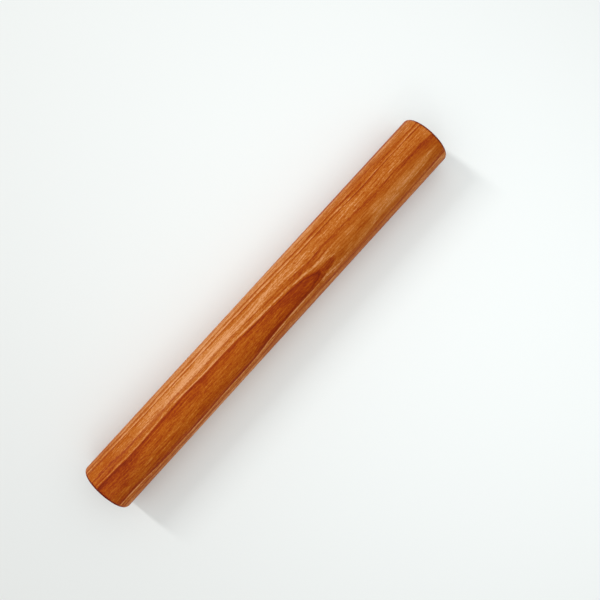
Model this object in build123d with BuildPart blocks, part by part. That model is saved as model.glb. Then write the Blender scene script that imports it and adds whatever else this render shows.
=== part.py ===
from build123d import *

import os

# Straight French rolling pin, one length of cherry turned to a plain round barrel.
# It lies along X on the plane Z = 0, with the origin under the middle of the barrel.
# Sizes are in millimetres.

# Driving sizes
pin_length = 431.8
barrel_diameter = 50.8
end_round_over = 4.0

# Where the pin's own axis runs
barrel_radius = barrel_diameter / 2
turning_axis = Axis((0, 0, barrel_radius), (1, 0, 0))
turning_plane = Plane(origin=turning_axis.position, x_dir=turning_axis.direction, z_dir=(0, -1, 0))

# The pin has no handles and no bore: the hands roll the barrel itself.
# Half of its lengthwise section is a rectangle that stands on the axis.
# The two outer corners are rounded over, tangent to the barrel and to the flat end faces.
with BuildPart() as rolling_pin:
    with BuildSketch(turning_plane) as half_section:
        Rectangle(pin_length, barrel_radius, align=(Align.CENTER, Align.MIN))
        outer_corners = half_section.vertices().group_by(Axis.Y)[-1]
        fillet(outer_corners, radius=end_round_over)
    revolve(axis=turning_axis)

rolling_pin.part.label = "rolling_pin"

os.makedirs("parts", exist_ok=True)
export_step(rolling_pin.part, "parts/rolling_pin.step")
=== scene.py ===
import math

import bmesh
import bpy
from mathutils import Matrix, Vector


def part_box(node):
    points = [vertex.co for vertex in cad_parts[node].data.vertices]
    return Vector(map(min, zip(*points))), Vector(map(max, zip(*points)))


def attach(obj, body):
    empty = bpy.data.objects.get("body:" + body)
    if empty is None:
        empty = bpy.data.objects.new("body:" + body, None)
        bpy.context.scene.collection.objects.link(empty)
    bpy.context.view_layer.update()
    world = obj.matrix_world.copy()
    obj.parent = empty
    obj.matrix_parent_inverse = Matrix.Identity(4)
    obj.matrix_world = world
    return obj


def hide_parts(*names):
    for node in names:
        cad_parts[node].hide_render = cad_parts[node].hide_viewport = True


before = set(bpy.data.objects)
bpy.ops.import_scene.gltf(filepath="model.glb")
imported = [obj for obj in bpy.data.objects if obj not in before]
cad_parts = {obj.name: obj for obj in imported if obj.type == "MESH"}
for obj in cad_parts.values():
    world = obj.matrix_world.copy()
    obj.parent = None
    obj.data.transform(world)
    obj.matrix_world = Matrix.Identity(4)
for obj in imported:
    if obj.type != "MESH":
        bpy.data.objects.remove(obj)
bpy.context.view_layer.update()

# A straight rolling pin, turned from one piece of flat-sawn cherry, on a pale table.
# Lengths are in metres, unless a name ends in _MM or a comment says otherwise.
MM = 0.001

# The pin's sizes from the frame, and how far its rims are rounded over
PIN_LOW, PIN_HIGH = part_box("rolling_pin")
HALF_LENGTH = (PIN_HIGH.x - PIN_LOW.x) / 2
BARREL_RADIUS = (PIN_HIGH.y - PIN_LOW.y) / 2
AXIS_HEIGHT = (PIN_LOW.z + PIN_HIGH.z) / 2
RIM_RADIUS = 4.0 * MM
RIM_ARC = RIM_RADIUS * math.pi / 2
FACE_RADIUS = BARREL_RADIUS - RIM_RADIUS
HALF_BARREL = HALF_LENGTH - RIM_RADIUS

# How finely the pin is turned: steps round it, along the barrel and over a rim, and the rings on a
# face as shares of its radius
SEGMENTS = 192
BARREL_STEPS = 120
RIM_STEPS = 12
FACE_RINGS = (0.25, 0.5, 0.75, 0.97)
# How uneven hand sanding leaves the barrel, and the waves of that along the pin: how many radians
# each turns through in a metre, and how many it is ahead at the middle
UNEVENNESS = 0.03 * MM
UNEVEN_WAVES = ((61, 0.7), (137, 2.1), (23, 0))

# Where the wood lies on its square map, with sides of 1: the barrel above and the two ends below
MAP_MARGIN = 0.01
MAP_BARREL_LOW = 0.29
MAP_END_RADIUS = 0.13
MAP_LEFT_END = (0.15, 0.145)
MAP_RIGHT_END = (0.45, 0.145)

# Where the log's pith ran: a slightly crooked line beside the pin, above the side that shows.
# Stations along the pin in mm, and there how much further off than PITH_DISTANCE_MM it is. This curve
# and those below are each drawn within the range of values that is given after their stations.
PITH_DISTANCE_MM = 150.0
PITH_RISE_MM = (
    (-216, 0.5), (-190, 0.9), (-150, 0.05), (-112, -0.3), (-80, 0.57), (-45, 0.82), (-20, 2.07),
    (0, 2.65), (20, 3.04), (40, 3.38), (57, 3.75), (75, 3.5), (105, 3.9), (135, 4.8), (170, 5.1),
    (216, 6.1),
)
PITH_RISE_RANGE = (-2, 8)
# How far it is turned from straight up towards -Y, in degrees
PITH_TURN = (
    (-216, 17), (-190, 18.7), (-150, 22.8), (-112, 21.75), (-75, 22), (-45, 21.75), (-20, 20.8),
    (0, 20.2), (20, 20.5), (40, 23), (60, 25.5), (80, 26.5), (216, 26.5),
)
PITH_TURN_RANGE = (10, 30)

# The darker core is the wood nearest to the pith. Its looks are full within the first of these
# distances past PITH_DISTANCE_MM, and gone past the second.
CORE_EDGE_MM = (-21.0, -20.4)
# The core ends inside the pin. Stations along the pin, and there the least distance that the wood still
# has: what lies further in looks like the wood there.
CORE_END_MM = (
    (-216, -26.0), (38, -26.0), (47, -22.4), (53, -21.2), (57, -20.9), (61, -20.64), (67, -20.53),
    (73, -20.44), (80, -20.3), (90, -20.1), (110, -19.9), (216, -19.8),
)
CORE_END_RANGE = (-27, -19)
# How softly that sets in, and how blunt the end is: by how much the place along the pin counts as
# further for each mm2 aside
CORE_END_SOFTNESS_MM = 0.2
CORE_END_BLUNTNESS = 0.35

# The log isn't quite round: its outer rings lie a little off on the +Y side. That sets in between these
# distances past PITH_DISTANCE_MM, and between these lengths of arc from the line that runs from the
# pith through the pin's axis.
OUTER_EDGE_MM = (-19.4, -17.4)
OUTER_ARC_MM = (0, 12)
# Stations along the pin, and there by how much less the distance counts
OUTER_SHIFT_MM = (
    (-216, 0.6), (-165, 0.8), (-135, -0.2), (-105, -0.85), (-75, -0.5), (-15, -0.4), (15, -0.7),
    (45, -0.4), (75, -0.1), (105, -0.1), (135, -0.3), (165, 0.1), (216, 0.0),
)
OUTER_SHIFT_RANGE = (-2, 2)

# How light the wood is going outwards through its growth rings: the distance in mm past
# PITH_DISTANCE_MM, and the tone from 0 to 1. Each ring ends with dark late wood, and the next one
# starts light. The rings past about 15 mm lie on the underside.
GROWTH = (
    (-26.0, 0.60), (-24.0, 0.52), (-22.6, 0.44), (-21.6, 0.30), (-21.1, 0.10), (-20.9, 0.36),
    (-20.65, 0.46), (-20.5, 0.52), (-20.35, 0.90), (-20.1, 0.88), (-19.7, 0.80), (-19.4, 0.60),
    (-19.1, 0.62), (-18.4, 0.60), (-17.4, 0.54), (-16.9, 0.46), (-16.65, 0.38), (-16.45, 0.64),
    (-16.1, 0.80), (-15.4, 0.88), (-14.0, 0.90), (-11.0, 0.84), (-8.0, 0.70), (-7.0, 0.46),
    (-6.7, 0.40), (-6.45, 0.92), (-5.4, 0.98), (-4.6, 0.88), (-3.8, 0.68), (-3.2, 0.58),
    (-2.6, 0.54), (-2.1, 0.66), (-1.7, 0.84), (-0.4, 0.90), (1.0, 0.92), (2.4, 0.84), (3.2, 0.74),
    (3.6, 0.86), (5.4, 0.86), (7.0, 0.92), (8.8, 0.86), (9.6, 0.66), (9.9, 0.42), (10.3, 0.80),
    (11.6, 0.66), (12.2, 0.50), (12.6, 0.78), (14.6, 0.70), (16.2, 0.56), (16.8, 0.34),
    (17.2, 0.82), (18.6, 0.66), (19.4, 0.44), (19.8, 0.78), (22.0, 0.68), (23.2, 0.52),
    (23.8, 0.36), (24.2, 0.80), (26.5, 0.68),
)

# How the wood's tone drifts along the pin: stations along it in mm, and the change there, first in the
# core and then in the rings that lie outside each of these distances. In the first two of those rings
# the lift at about -100 to -50 mm is partly painted highlight, where the window's sheen falls.
CORE_DRIFT = (
    (-216, -0.11), (-190, -0.11), (-172, -0.02), (-150, 0.01), (-100, -0.01), (-50, 0.03),
    (0, 0.0), (30, -0.02), (50, 0.03), (216, -0.05),
)
DRIFTS_AND_SHEEN = (
    # Partly painted highlight: the lift at -100 to -50 mm here and in the next ring
    (-20.5, (
        (-216, -0.13), (-190, -0.12), (-172, -0.08), (-150, -0.03), (-100, 0.05), (-50, 0.09),
        (0, 0.03), (50, -0.02), (100, -0.03), (150, -0.03), (216, -0.09),
    )),
    (-16.3, (
        (-216, -0.27), (-190, -0.28), (-172, -0.18), (-150, -0.12), (-100, 0.05), (-50, 0.05),
        (-20, -0.06), (0, -0.05), (50, -0.04), (100, -0.17), (150, -0.17), (216, -0.10),
    )),
    (-7.2, (
        (-216, -0.15), (-190, -0.13), (-172, -0.05), (-150, -0.04), (-100, 0.0), (-50, -0.01),
        (0, -0.03), (50, -0.08), (75, -0.13), (100, -0.20), (150, -0.24), (180, -0.25), (216, -0.22),
    )),
)
DRIFT_RANGE = (-0.3, 0.1)
# How far each way from such a distance one drift blends into the next
DRIFT_BLEND_MM = 0.15

# Waves: the length of their lumps along the pin, width in Y and depth in Z in mm, their detail, and how
# far they reach. They move the rings, the fibres and the drift's stations by up to that many mm, and
# the marks' edges by up to that share of a mark.
RING_WANDER = (90, 9, 9, 2, 0.3)
RING_RIPPLE = (18, 3, 3, 1, 0.1)
FIBRE_WAVE_Y = (26, 12, 12, 2, 1.1)
FIBRE_WAVE_Z = (29, 13, 13, 2, 1.1)
DRIFT_FRONT = (40, 9, 9, 2, 26)
MARK_WARP = (10, 2, 2, 2, 0.5)

# Streaks along the grain, from bands several mm wide down to single fibres, and mottle across it: the
# length and width of their lumps in mm, their detail, and how much they change the tone
STREAKS = (
    (100, 5.0, 1, 0.06),
    (40, 1.4, 2, 0.26),
    (16, 0.8, 2, 0.35),
    (5, 1.8, 1, 0.12),
    (1.9, 0.8, 1, 0.31),
)
# Thin lines that follow the growth rings: their length along the pin, thickness outwards and width
# round the log in mm, and how much they change the tone
RING_LINE_SIZES = (70, 0.45, 60)
RING_LINE_TONE = 0.16
# Thin dark lines, given in the same way. They lie where their noise is nearer to 0 than
# DARK_LINE_EDGE. All the wood is lighter by DARK_LINE_SHARE of their tone, which makes up for them.
DARK_LINE_SIZES = (45, 0.9, 3.4)
DARK_LINE_TONE = -0.14
DARK_LINE_EDGE = 0.16
DARK_LINE_SHARE = 0.3
# The streaks are a little weaker in the core. Past the core's end they are much weaker in the first
# ring outside it, which ends between these distances. That sets in between these stations in mm.
CORE_STREAKS = 0.9
CALM_STREAKS = 0.6
CALM_EDGE_MM = (-18.2, -17.6)
CALM_STATIONS = (66, 92)
# Rays and pores: their length along the pin, the rays' reach outwards and width round the log, the
# pores' width, all in mm, where in their noise they set in and are full, and how much they change the
# tone
RAY_SIZES = (3.0, 7.0, 0.35)
RAY_EDGE = (0.2, 0.6)
RAY_TONE = 0.12
PORE_SIZES = (2.6, 0.2)
PORE_EDGE = (0.3, 0.6)
PORE_TONE = -0.14

# Small marks in the wood, and among them a few painted highlights, reflections and light, each said
# below: place along the pin in mm, degrees round from the top towards -Y, their length and width in
# mm, and the change in tone at their middle
MARKS_AND_PAINTED_LIGHT = (
    (65, 32, 13, 4, -0.12),
    (82, 27, 42, 14, -0.19),
    (72, 6.5, 24, 3, 0.04),
    (80, 12, 30, 6, -0.10),
    (60, 5, 34, 3, -0.08),
    # Painted highlight, partly real lighter wood: where the window's sheen falls
    (-78, -34, 110, 9, 0.06),
    (168, -33, 110, 12, 0.07),
    (140, -8, 60, 8, -0.07),
    (-192, 38, 50, 10, 0.06),
    (75, 13, 24, 3, -0.08),
    (74, 36, 30, 6, -0.12),
    (112, 23, 30, 10, -0.14),
    (179, 19, 9, 1.6, -0.22),
    (54, -6, 2.6, 1.2, -0.25),
    (45, -27, 2.4, 1.1, -0.25),
    (-165, 27, 16, 2.4, 0.16),
    (-182, 22, 12, 1.8, 0.12),
    (-194, -26, 46, 11, -0.12),
    (-196, -23.5, 54, 3, 0.12),
    (-185, -47, 70, 6, 0.12),
    (-15, 71, 300, 18, -0.16),
    (-18, 66, 46, 12, -0.08),
    (-18, 46, 40, 4, -0.12),
    (-200, 50, 60, 26, 0.12),
    # Painted light: lighter along the side towards -Y, as if lit more there
    (-50, 58, 330, 14, 0.07),
    # Painted reflection: a light band where the white table shows in the side towards +Y
    (130, -67, 200, 9, 0.16),
    # Painted reflection: a dark band where the shaded table beside the pin shows in that side
    (-135, -78, 210, 10, -0.12),
    (-45, -4, 50, 5, 0.08),
    (10, 3.5, 60, 5, 0.10),
    (0, 38.5, 80, 4, -0.10),
    (80, -15, 70, 9, -0.15),
    (195, -8, 60, 8, -0.12),
    (197, 9, 50, 7, -0.08),
    (195, -53, 70, 14, 0.08),
    (105, -31, 40, 5, 0.06),
    (100, -24.5, 60, 8, 0.13),
    (98, -36, 80, 2.2, -0.11),
    (165, -46, 80, 7, -0.08),
    (100, 29, 50, 16, -0.11),
    # Painted light: a little lighter there, standing in for warmer light on that side
    (172, 38, 90, 18, 0.07),
    (162, -35.5, 110, 2.4, -0.13),
    (168, -40.5, 110, 2.4, 0.12),
    (165, -31, 100, 3, 0.06),
    (120, 12, 14, 1.0, -0.22),
    (146, 15, 10, 1.0, -0.2),
)
# A mark fades out between these distances from its middle, where 1 is its own edge
MARK_EDGE = (0.3, 1.3)

# Oiled cherry heartwood, from its darkest late wood to its palest early wood: tones from 0 to 1, and
# colours written as 0 to 255
CHERRY = (
    (0.0, (117, 33, 3)),
    (0.2, (140, 46, 4)),
    (0.4, (158, 65, 6)),
    (0.6, (175, 89, 14)),
    (0.8, (193, 115, 45)),
    (1.0, (217, 150, 97)),
)
# What the darker core does to those colours: a little redder, with less blue. At the pin's left end it
# does nothing yet, and it sets in between these stations in mm.
CORE_TINT = (1.02, 0.95, 0.60, 1.0)
CORE_TINT_STATIONS = (-190, -130)
# End grain takes up more oil and is darker. It sets in and is full at these shares of the rim's length
# along the pin.
END_GRAIN_TINT = (0.48, 0.38, 0.40, 1.0)
END_GRAIN_FROM = 0.30
END_GRAIN_FULL = 0.65
# On the rim it is darker still, partly from burnishing and partly as painted shade where the rim
# turns away from the light: this far outside the face's edge that sets in and is full
RIM_BURNISH_AND_SHADE_TINT = (0.85, 0.30, 0.10, 1.0)
RIM_BURNISH_AND_SHADE_FROM_MM = -1.0
RIM_BURNISH_AND_SHADE_FULL_MM = 3.0

# How rough the dense late wood, the open early wood and the end grain are, the tones of the first two,
# and how high the fibres stand
LATE_ROUGHNESS = 0.48
EARLY_ROUGHNESS = 0.6
END_ROUGHNESS = 0.9
LATE_TONE = 0.2
EARLY_TONE = 0.9
FIBRE_RELIEF = 0.05 * MM
# The faint warm gloss of the wood itself, and the thin coat that the oil leaves
GLOSS = 0.05
GLOSS_TINT = (1.0, 0.74, 0.42, 1.0)
COAT_WEIGHT = 0.1
COAT_ROUGHNESS = 0.3

# The table's colour holds painted light and shade: white around one spot, as if the light were
# strongest there, and a little greyer away from it, which takes less way along X, and far off it is
# white again. Its colours are written as 0 to 255.
TABLE_SIZE = 8
TABLE_LIT_WHITE = (248, 253, 252)
TABLE_SHADE_GREY = (219, 221, 219)
TABLE_LIGHT_SPOT = (0.19, -0.17, 0.0)
TABLE_STRETCH = (1.35, 1.0, 1.0)
TABLE_LIT_WITHIN = 0.0
TABLE_SHADE_BEYOND = 1.0
TABLE_SHADE_WITHIN = 1.1
TABLE_LIT_BEYOND = 2.4
TABLE_ROUGHNESS = 0.9
TABLE_GLOSS = 0.1

# The camera: over the pin and a little to its left, and turned as the photograph is. Its lens and
# sensor are in mm.
CAMERA_PLACE = Vector((-17.0, -8.5, 741.6)) * MM
CAMERA_NOD = math.radians(0.475)
CAMERA_LEAN = math.radians(3.433)
CAMERA_ROLL = math.radians(47.616)
CAMERA_LENS = 47.29
SENSOR_WIDTH = 36.0

# The light: a room that is brightest overhead and a little towards +Y, a window on that side, and a
# weak lamp from the other side, which gives the faint shadow on the window's side of the pin
ROOM_TOP = (0.0, 0.1, 0.995)
ROOM_LOW_LEVEL = 0.25
ROOM_TOP_LEVEL = 1.135
WINDOW_PLACE = (-0.32, 1.93, 1.60)
WINDOW_WIDTH = 0.2
WINDOW_HEIGHT = 0.8
WINDOW_RADIANCE = 37.5
FILL_PLACE = (-1.04, -0.95, 1.41)
FILL_SIZE = 0.4
FILL_RADIANCE = 2.6

# The sockets of Blender's Mix node go by number, because several share a name
MIX_SHARE = 0
MIX_NUMBERS = (2, 3)
MIX_COLOURS = (6, 7)
MIX_NUMBER_OUT = 0
MIX_COLOUR_OUT = 2


def linear(colour):
    """A colour written as 0 to 255, as the linear RGBA that a shader takes."""
    def channel(value):
        share = value / 255
        return share / 12.92 if share <= 0.04045 else ((share + 0.055) / 1.055) ** 2.4
    return (*[channel(value) for value in colour], 1.0)


class Shader:
    """Adds nodes to a material or a world and links them, so that a pattern reads as a formula."""

    def __init__(self, owner, surface):
        owner.use_nodes = True
        self.owner = owner
        self.nodes = owner.node_tree.nodes
        self.links = owner.node_tree.links
        self.surface = self.nodes[surface]

    def put(self, socket, value):
        if isinstance(value, bpy.types.NodeSocket):
            self.links.new(value, socket)
        else:
            socket.default_value = value

    def node(self, kind, inputs=(), **settings):
        made = self.nodes.new(kind)
        for name, value in settings.items():
            setattr(made, name, value)
        for socket, value in zip(made.inputs, inputs):
            self.put(socket, value)
        return made

    def math(self, operation, *values):
        return self.node("ShaderNodeMath", values, operation=operation).outputs[0]

    def add(self, first, second):
        return self.math("ADD", first, second)

    def times(self, first, second):
        return self.math("MULTIPLY", first, second)

    def span(self, value, low, high, to_low=0.0, to_high=1.0, smooth=True):
        """Maps low..high to to_low..to_high, and holds it outside."""
        kind = "SMOOTHSTEP" if smooth else "LINEAR"
        made = self.node("ShaderNodeMapRange", (value, low, high, to_low, to_high), interpolation_type=kind)
        return made.outputs[0]

    def vector(self, x, y, z):
        return self.node("ShaderNodeCombineXYZ", (x, y, z)).outputs[0]

    def vector_math(self, operation, *values, output="Vector"):
        return self.node("ShaderNodeVectorMath", values, operation=operation).outputs[output]

    def noise(self, place, detail):
        """Smooth noise about 0, from -1 to 1 at the most, with one lump to each unit of place."""
        made = self.node("ShaderNodeTexNoise")
        self.put(made.inputs["Vector"], place)
        self.put(made.inputs["Scale"], 1.0)
        self.put(made.inputs["Detail"], detail)
        return self.math("MULTIPLY_ADD", made.outputs[0], 2.0, -1.0)

    def curve(self, value, points, low, high):
        """A smooth curve through points, in the units of the points. Its values lie in low..high."""
        first, last = points[0][0], points[-1][0]
        made = self.node("ShaderNodeFloatCurve", (1.0, self.span(value, first, last, smooth=False)))
        line = made.mapping.curves[0]
        while len(line.points) < len(points):
            line.points.new(0.5, 0.5)
        for spot, (x, y) in zip(line.points, points):
            spot.location = ((x - first) / (last - first), (y - low) / (high - low))
        made.mapping.update()
        return self.span(made.outputs[0], 0.0, 1.0, low, high, smooth=False)

    def ramp(self, value, stops):
        made = self.node("ShaderNodeValToRGB", (value,))
        elements = made.color_ramp.elements
        while len(elements) < len(stops):
            elements.new(0.5)
        for element, (place, colour) in zip(elements, stops):
            element.position = place
            element.color = linear(colour)
        return made.outputs[0]

    def mix(self, share, first, second, blend_type="MIX"):
        made = self.node("ShaderNodeMix", data_type="RGBA", blend_type=blend_type)
        for number, value in zip((MIX_SHARE, *MIX_COLOURS), (share, first, second)):
            self.put(made.inputs[number], value)
        return made.outputs[MIX_COLOUR_OUT]

    def mix_numbers(self, share, first, second):
        made = self.node("ShaderNodeMix")
        for number, value in zip((MIX_SHARE, *MIX_NUMBERS), (share, first, second)):
            self.put(made.inputs[number], value)
        return made.outputs[MIX_NUMBER_OUT]


class Grain:
    """Places in the wood: along the grain, out from the pith, and around it, all in mm."""

    def __init__(self, wood):
        self.wood = wood
        place = wood.node("ShaderNodeTexCoord").outputs["Object"]
        split = wood.node("ShaderNodeSeparateXYZ", (place,)).outputs
        self.x = wood.times(split[0], 1 / MM)
        self.y = wood.times(split[1], 1 / MM)
        self.z = wood.times(wood.add(split[2], -AXIS_HEIGHT), 1 / MM)
        self.find_pith()
        self.wave_y = self.wave(*FIBRE_WAVE_Y)
        self.wave_z = self.wave(*FIBRE_WAVE_Z)

    def find_pith(self):
        """How far out from the pith each place lies, past PITH_DISTANCE_MM, and how far around it."""
        wood = self.wood
        turn = wood.math("RADIANS", wood.curve(self.x, PITH_TURN, *PITH_TURN_RANGE))
        distance = wood.add(wood.curve(self.x, PITH_RISE_MM, *PITH_RISE_RANGE), PITH_DISTANCE_MM)
        pith_y = wood.times(wood.math("SINE", turn), wood.times(distance, -1))
        pith_z = wood.times(wood.math("COSINE", turn), distance)
        across = wood.math("SUBTRACT", self.y, pith_y)
        down = wood.math("SUBTRACT", pith_z, self.z)
        squares = wood.add(wood.times(across, across), wood.times(down, down))
        straight = wood.add(wood.math("SQRT", squares), -PITH_DISTANCE_MM)
        uneven = wood.add(straight, wood.add(self.wave(*RING_WANDER), self.wave(*RING_RIPPLE)))
        angle = wood.math("ARCTAN2", across, down)
        aside = wood.times(wood.math("SUBTRACT", angle, turn), PITH_DISTANCE_MM)
        self.out = self.end_core(self.shift_outer(uneven, aside), aside)
        self.in_core = wood.span(self.out, *CORE_EDGE_MM, 1, 0)
        self.around = wood.times(angle, PITH_DISTANCE_MM)

    def shift_outer(self, out, aside):
        """The distance out, with the outer rings a little off on the +Y side."""
        wood = self.wood
        outer = wood.span(out, *OUTER_EDGE_MM)
        shift = wood.times(wood.curve(self.x, OUTER_SHIFT_MM, *OUTER_SHIFT_RANGE), outer)
        return wood.math("SUBTRACT", out, wood.times(shift, wood.span(aside, *OUTER_ARC_MM)))

    def end_core(self, out, aside):
        """The distance out, with no core past its blunt end."""
        wood = self.wood
        bent = wood.add(self.x, wood.times(wood.times(aside, aside), CORE_END_BLUNTNESS))
        least = wood.curve(bent, CORE_END_MM, *CORE_END_RANGE)
        return wood.math("SMOOTH_MAX", out, least, CORE_END_SOFTNESS_MM)

    def lumps(self, axes, detail):
        """Noise over three places in the wood, each given with the size of the lumps that way."""
        wood = self.wood
        return wood.noise(wood.vector(*[wood.times(place, 1 / size) for place, size in axes]), detail)

    def wave(self, along, wide, deep, detail, reach):
        """Noise with lumps of the given length along the pin, width in Y and depth in Z."""
        axes = ((self.x, along), (self.y, wide), (self.z, deep))
        return self.wood.times(self.lumps(axes, detail), reach)

    def fibre_noise(self, along, thick, detail):
        """Noise in strands of the given length and thickness, which wave a little as the grain does."""
        y = self.wood.add(self.y, self.wave_y)
        z = self.wood.add(self.z, self.wave_z)
        return self.lumps(((self.x, along), (y, thick), (z, thick)), detail)

    def ring_noise(self, along, out, around):
        """Noise in thin layers that follow the growth rings."""
        return self.lumps(((self.x, along), (self.out, out), (self.around, around)), detail=2)


def ring_tone(wood, grain):
    """How light the wood is by its growth rings alone, from 0 to 1."""
    tone = GROWTH[0][1]
    for (start, first), (end, second) in zip(GROWTH, GROWTH[1:]):
        tone = wood.add(tone, wood.span(grain.out, start, end, 0, second - first))
    return tone


def drift_and_sheen_tone(wood, grain):
    """The slow change along the pin, with an uneven front, and partly painted highlight in places."""
    place = wood.add(grain.x, grain.wave(*DRIFT_FRONT))
    tone = wood.curve(place, CORE_DRIFT, *DRIFT_RANGE)
    for edge, stations in DRIFTS_AND_SHEEN:
        outside = wood.span(grain.out, edge - DRIFT_BLEND_MM, edge + DRIFT_BLEND_MM)
        step = wood.math("SUBTRACT", wood.curve(place, stations, *DRIFT_RANGE), tone)
        tone = wood.add(tone, wood.times(outside, step))
    return tone


def streak_strength(wood, grain):
    """How strong the streaks are, where 1 is their full strength."""
    in_ring = wood.span(grain.out, *CALM_EDGE_MM, 1, 0)
    calm = wood.times(in_ring, wood.span(grain.x, *CALM_STATIONS))
    strength = wood.math("MULTIPLY_ADD", calm, CALM_STREAKS - 1, 1.0)
    return wood.math("MULTIPLY_ADD", grain.in_core, CORE_STREAKS - 1, strength)


def streak_tone(wood, grain):
    """The streaks, the mottle and the thin lines."""
    tone = -DARK_LINE_TONE * DARK_LINE_SHARE
    for length, width, detail, strength in STREAKS:
        tone = wood.add(tone, wood.times(grain.fibre_noise(length, width, detail), strength))
    tone = wood.add(tone, wood.times(grain.ring_noise(*RING_LINE_SIZES), RING_LINE_TONE))
    off_line = wood.math("ABSOLUTE", grain.ring_noise(*DARK_LINE_SIZES))
    tone = wood.add(tone, wood.span(off_line, 0, DARK_LINE_EDGE, DARK_LINE_TONE, 0))
    return wood.times(tone, streak_strength(wood, grain))


def fleck_tone(wood, grain):
    """Rays, which are light flecks that run out from the pith, and pores, which are fine dark dashes."""
    rays = wood.span(grain.ring_noise(*RAY_SIZES), *RAY_EDGE, 0, RAY_TONE)
    pores = wood.span(grain.fibre_noise(*PORE_SIZES, detail=0), *PORE_EDGE, 0, PORE_TONE)
    return wood.add(rays, pores)


def mark_and_painted_light_tone(wood, grain):
    """The small marks, with the painted highlight, reflections and light among them."""
    warp = grain.wave(*MARK_WARP)
    radius = BARREL_RADIUS / MM
    tone = 0.0
    for along, turn, length, width, change in MARKS_AND_PAINTED_LIGHT:
        across = -radius * math.sin(math.radians(turn))
        up = radius * math.cos(math.radians(turn))
        axes = (
            (grain.x, along, length / 2),
            (grain.y, across, width / 2),
            (grain.z, up, width / 2),
        )
        squares = 0.0
        for place, middle, half in axes:
            step = wood.times(wood.add(place, -middle), 1 / half)
            squares = wood.add(squares, wood.times(step, step))
        away = wood.add(wood.math("SQRT", squares), warp)
        tone = wood.add(tone, wood.span(away, *MARK_EDGE, change, 0))
    return tone


def end_grain_share(wood, grain):
    """0 on the barrel and 1 on the end faces."""
    past_barrel = wood.add(wood.math("ABSOLUTE", grain.x), -HALF_BARREL / MM)
    rim = RIM_RADIUS / MM
    return wood.span(past_barrel, END_GRAIN_FROM * rim, END_GRAIN_FULL * rim)


def wood_colour(wood, grain, tone, end_grain):
    """The colour that the tone stands for, tinted in the core and on the ends. The rims are darker
    still, partly by burnishing and partly by painted shade.
    """
    colour = wood.ramp(tone, CHERRY)
    redder = wood.times(grain.in_core, wood.span(grain.x, *CORE_TINT_STATIONS))
    colour = wood.mix(redder, colour, CORE_TINT, "MULTIPLY")
    colour = wood.mix(end_grain, colour, END_GRAIN_TINT, "MULTIPLY")
    off_axis = wood.math("SQRT", wood.add(wood.times(grain.y, grain.y), wood.times(grain.z, grain.z)))
    face = FACE_RADIUS / MM
    rim_burnish_and_shade = wood.span(off_axis, face + RIM_BURNISH_AND_SHADE_FROM_MM, face + RIM_BURNISH_AND_SHADE_FULL_MM)
    # Painted shade, with real burnishing: darker on the rim, where it turns away from the light
    return wood.mix(wood.times(end_grain, rim_burnish_and_shade), colour, RIM_BURNISH_AND_SHADE_TINT, "MULTIPLY")


def wood_roughness(wood, tone, end_grain):
    """Smoother where the wood is dark and dense, and matt on the ends."""
    side_roughness = wood.span(tone, LATE_TONE, EARLY_TONE, LATE_ROUGHNESS, EARLY_ROUGHNESS)
    more_on_end = wood.math("SUBTRACT", END_ROUGHNESS, side_roughness)
    return wood.add(side_roughness, wood.times(more_on_end, end_grain))


def cherry_wood():
    """Oiled cherry: growth rings, streaks along the grain, mottle, rays and small gum marks, with
    some painted highlight, reflections and light in its tone.
    """
    wood = Shader(bpy.data.materials.new("cherry_wood"), "Principled BSDF")
    grain = Grain(wood)
    tone = ring_tone(wood, grain)
    relief = wood.add(streak_tone(wood, grain), fleck_tone(wood, grain))
    for part in (drift_and_sheen_tone(wood, grain), relief, mark_and_painted_light_tone(wood, grain)):
        tone = wood.add(tone, part)
    end_grain = end_grain_share(wood, grain)
    bump = wood.node("ShaderNodeBump")
    wood.put(bump.inputs["Distance"], FIBRE_RELIEF)
    wood.put(bump.inputs["Height"], relief)
    finish = {
        "Base Color": wood_colour(wood, grain, tone, end_grain),
        "Roughness": wood_roughness(wood, tone, end_grain),
        "Normal": bump.outputs[0],
        "Specular IOR Level": GLOSS,
        "Specular Tint": GLOSS_TINT,
        "Coat Weight": COAT_WEIGHT,
        "Coat Roughness": COAT_ROUGHNESS,
    }
    for name, value in finish.items():
        wood.put(wood.surface.inputs[name], value)
    return wood.owner


def table_top():
    """Smooth white laminate, with painted light and shade: white around a spot and greyer away from it."""
    top = Shader(bpy.data.materials.new("table_top"), "Principled BSDF")
    place = top.node("ShaderNodeTexCoord").outputs["Object"]
    aside = top.vector_math("SUBTRACT", place, TABLE_LIGHT_SPOT)
    away = top.vector_math("LENGTH", top.vector_math("MULTIPLY", aside, TABLE_STRETCH), output="Value")
    # Painted light and shade: white near the spot, greyer further off, white again far away
    outwards = top.span(away, TABLE_LIT_WITHIN, TABLE_SHADE_BEYOND)
    share = top.times(outwards, top.span(away, TABLE_SHADE_WITHIN, TABLE_LIT_BEYOND, 1, 0))
    top.put(top.surface.inputs["Base Color"], top.mix(share, linear(TABLE_LIT_WHITE), linear(TABLE_SHADE_GREY)))
    top.put(top.surface.inputs["Roughness"], TABLE_ROUGHNESS)
    top.put(top.surface.inputs["Specular IOR Level"], TABLE_GLOSS)
    return top.owner


def unevenness(along):
    """How far the hand-sanded barrel falls short of its full radius at a place along it."""
    wave = sum(math.sin(along * rate + ahead) for rate, ahead in UNEVEN_WAVES)
    return UNEVENNESS * (0.5 - wave / (2 * len(UNEVEN_WAVES)))


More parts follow.
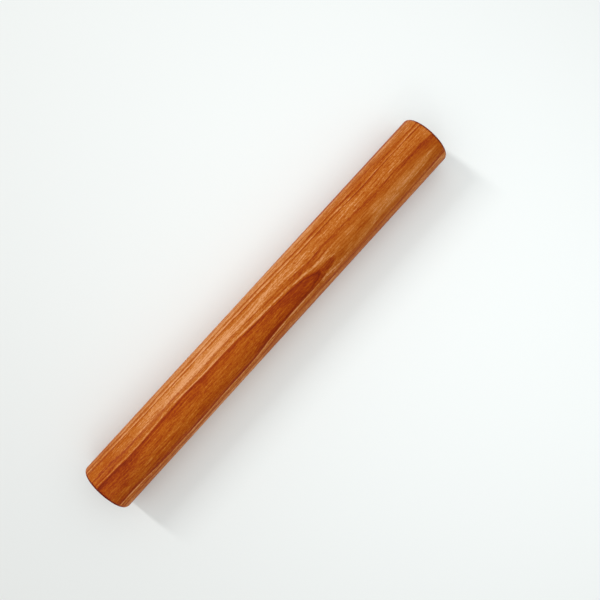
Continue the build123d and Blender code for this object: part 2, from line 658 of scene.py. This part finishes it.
def end_outline():
    """The rings of the left end, from the middle out: along the pin, radius, and arc from the middle."""
    outline = [(-HALF_LENGTH, FACE_RADIUS * share, FACE_RADIUS * share) for share in FACE_RINGS]
    for step in range(RIM_STEPS + 1):
        turn = math.pi / 2 * step / RIM_STEPS
        along = -HALF_LENGTH + RIM_RADIUS * (1 - math.cos(turn))
        radius = FACE_RADIUS + RIM_RADIUS * math.sin(turn)
        outline.append((along, radius, FACE_RADIUS + RIM_ARC * step / RIM_STEPS))
    return outline


def pin_rings(end):
    """All the pin's rings from left to right: along the pin, and radius."""
    rings = [(along, radius) for along, radius, arc in end]
    for step in range(1, BARREL_STEPS):
        along = -HALF_BARREL + 2 * HALF_BARREL * step / BARREL_STEPS
        rings.append((along, BARREL_RADIUS - unevenness(along)))
    rings += [(-along, radius) for along, radius, arc in reversed(end)]
    return rings


def barrel_on_map(along, segment):
    """Where a spot on the barrel lies on the map."""
    u = MAP_MARGIN + (1 - 2 * MAP_MARGIN) * (along + HALF_BARREL) / (2 * HALF_BARREL)
    v = MAP_BARREL_LOW + (1 - MAP_MARGIN - MAP_BARREL_LOW) * segment / SEGMENTS
    return (u, v)


def end_on_map(side, arc, segment):
    """Where a spot on an end lies on the map. The side is -1 for the left end and 1 for the right."""
    turn = 2 * math.pi * segment / SEGMENTS
    reach = MAP_END_RADIUS * arc / (FACE_RADIUS + RIM_ARC)
    middle = MAP_LEFT_END if side < 0 else MAP_RIGHT_END
    return (middle[0] + side * reach * math.sin(turn), middle[1] - reach * math.cos(turn))


def turned_pin():
    """The pin's mesh: two flat faces, two rounded rims and the barrel, seam underneath."""
    end = end_outline()
    rings = pin_rings(end)
    last = len(rings) - 1
    mesh = bmesh.new()
    layer = mesh.loops.layers.uv.new("OFBake")
    turns = [2 * math.pi * segment / SEGMENTS for segment in range(SEGMENTS)]
    grid = []
    for along, radius in rings:
        ring = [
            mesh.verts.new((along, radius * math.sin(turn), AXIS_HEIGHT - radius * math.cos(turn)))
            for turn in turns
        ]
        grid.append(ring)
    poles = [mesh.verts.new((along, 0, AXIS_HEIGHT)) for along in (-HALF_LENGTH, HALF_LENGTH)]

    def side_after(row):
        """For the faces that follow a ring: -1 on the left end, 1 on the right end and 0 between."""
        if row + 1 < len(end):
            return -1
        return 1 if row > last - len(end) else 0

    def on_map(side, row, segment):
        if side == 0:
            return barrel_on_map(rings[row][0], segment)
        return end_on_map(side, end[min(row, last - row)][2], segment)

    def face(corners, places):
        made = mesh.faces.new(corners)
        made.smooth = True
        for loop, place in zip(made.loops, places):
            loop[layer].uv = place

    for segment in range(SEGMENTS):
        following = segment + 1
        for row in range(last):
            side = side_after(row)
            corners = ((row, segment), (row + 1, segment), (row + 1, following), (row, following))
            face(
                [grid[ring][spot % SEGMENTS] for ring, spot in corners],
                [on_map(side, ring, spot) for ring, spot in corners],
            )
        for side, pole, row, spots in (
            (-1, poles[0], 0, (segment, following)),
            (1, poles[1], last, (following, segment)),
        ):
            face(
                [pole] + [grid[row][spot % SEGMENTS] for spot in spots],
                [end_on_map(side, 0, segment)] + [on_map(side, row, spot) for spot in spots],
            )
    data = bpy.data.meshes.new("turned_pin")
    mesh.to_mesh(data)
    mesh.free()
    return data


def make_pin():
    pin = bpy.data.objects.new("turned_pin", turned_pin())
    bpy.context.scene.collection.objects.link(pin)
    pin.data.materials.append(cherry_wood())
    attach(pin, "root")
    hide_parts("rolling_pin")


def make_table():
    bpy.ops.mesh.primitive_plane_add(size=TABLE_SIZE)
    table = bpy.context.object
    table.name = "table_top"
    table.data.materials.append(table_top())


def area_lamp(name, place, width, height, radiance):
    """A soft white lamp at place that faces the pin."""
    data = bpy.data.lights.new(name, "AREA")
    data.shape = "RECTANGLE"
    data.size = width
    data.size_y = height
    data.energy = radiance * math.pi * width * height
    lamp = bpy.data.objects.new(name, data)
    lamp.location = place
    lamp.rotation_euler = (-Vector(place)).to_track_quat("-Z", "Y").to_euler()
    bpy.context.scene.collection.objects.link(lamp)


def light_room():
    """Light from all sides, and plain white behind everything."""
    world = bpy.data.worlds.new("room")
    bpy.context.scene.world = world
    room = Shader(world, "Background")
    direction = room.node("ShaderNodeTexCoord").outputs["Generated"]
    toward_top = room.vector_math("DOT_PRODUCT", direction, ROOM_TOP, output="Value")
    level = room.span(toward_top, 0.0, 1.0, ROOM_LOW_LEVEL, ROOM_TOP_LEVEL, smooth=False)
    seen = room.node("ShaderNodeLightPath").outputs["Is Camera Ray"]
    room.put(room.surface.inputs["Strength"], room.mix_numbers(seen, level, 1.0))
    room.put(room.surface.inputs["Color"], (1.0, 1.0, 1.0, 1.0))


def place_camera():
    data = bpy.data.cameras.new("camera")
    data.lens = CAMERA_LENS
    data.sensor_width = SENSOR_WIDTH
    camera = bpy.data.objects.new("camera", data)
    turn = (
        Matrix.Rotation(-CAMERA_LEAN, 4, "Y")
        @ Matrix.Rotation(-CAMERA_NOD, 4, "X")
        @ Matrix.Rotation(-CAMERA_ROLL, 4, "Z")
    )
    camera.matrix_world = Matrix.Translation(CAMERA_PLACE) @ turn
    bpy.context.scene.collection.objects.link(camera)
    bpy.context.scene.camera = camera


make_pin()
make_table()
light_room()
area_lamp("window", WINDOW_PLACE, WINDOW_WIDTH, WINDOW_HEIGHT, WINDOW_RADIANCE)
area_lamp("fill", FILL_PLACE, FILL_SIZE, FILL_SIZE, FILL_RADIANCE)
place_camera()
bpy.context.scene.view_settings.view_transform = "Standard"
